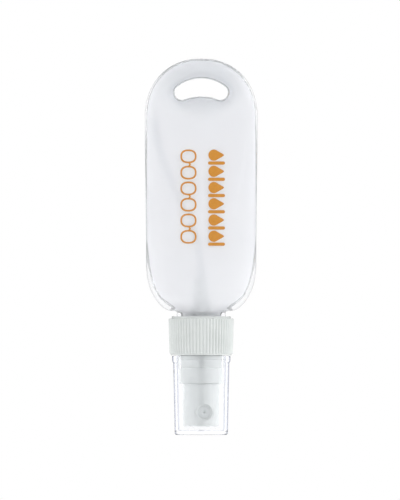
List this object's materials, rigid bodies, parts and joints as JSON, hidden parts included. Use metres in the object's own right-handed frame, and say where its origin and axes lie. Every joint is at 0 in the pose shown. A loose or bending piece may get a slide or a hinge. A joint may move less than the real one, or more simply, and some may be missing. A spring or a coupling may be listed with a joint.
{
  "type": "lens cleaning spray",
  "caption": "Flat hang-loop bottle with a screw-on fine-mist finger pump and a clear pull-off overcap, standing on the overcap.",
  "frame": {"origin": "centre of the overcap's closed end, which is the face that the object stands on", "axes": "+Z along the bottle towards its hang loop, -Y out of the printed front face, +X to the right of that face"},
  "size_m": [0.0418, 0.0244, 0.1396],
  "materials": {
    "bottle_wall": "glossy translucent, milky inside",
    "clear_cap": "clear glossy",
    "white_plastic": "satin moulded",
    "cream_plastic": "satin moulded",
    "natural_plastic": "satin translucent",
    "gasket": "soft matt",
    "spring_steel": "drawn wire",
    "ball_steel": "polished",
    "tube_plastic": "translucent extruded"
  },
  "bodies": {
    "bottle": {"bottle": "bottle_wall"},
    "pump": {"pump_housing": "natural_plastic", "turret": "white_plastic", "neck_gasket": "gasket", "dip_tube": "tube_plastic", "return_spring": "spring_steel"},
    "collar": {"screw_collar": "white_plastic"},
    "overcap": {"overcap": "clear_cap"},
    "piston": {"piston": "natural_plastic"},
    "actuator": {"actuator": "white_plastic", "nozzle_insert": "cream_plastic", "stem": "cream_plastic", "piston_seat": "cream_plastic"},
    "ball": {"ball_valve": "ball_steel"}
  },
  "joints": [
    {"name": "pump_out", "type": "slide", "parent": "bottle", "child": "pump", "axis": [0, 0, -1], "range_m": [0, 0.00635]},
    {"name": "collar_unscrew", "type": "hinge", "parent": "pump", "child": "collar", "pos_m": [0, 0, 0.0367], "axis": [0, 0, -1], "range_deg": [0, 720]},
    {"name": "overcap_pull", "type": "slide", "parent": "pump", "child": "overcap", "axis": [0, 0, -1], "range_m": [0, 0.035]},
    {"name": "actuator_press", "type": "slide", "parent": "pump", "child": "piston", "axis": [0, 0, 1], "range_m": [0, 0.0043], "stiffness_N_per_m": 800, "springref_m": -0.004, "deforming": ["return_spring"]},
    {"name": "actuator_turn", "type": "hinge", "parent": "piston", "child": "actuator", "pos_m": [0, 0, 0.02], "axis": [0, 0, 1], "continuous": true},
    {"name": "ball_lift", "type": "slide", "parent": "pump", "child": "ball", "axis": [0, 0, 1], "range_m": [0, 0.00075]}
  ],
  "couplings": [
    {"joint": "collar_unscrew", "follows": "pump_out", "rad_per_m": 1979}
  ]
}
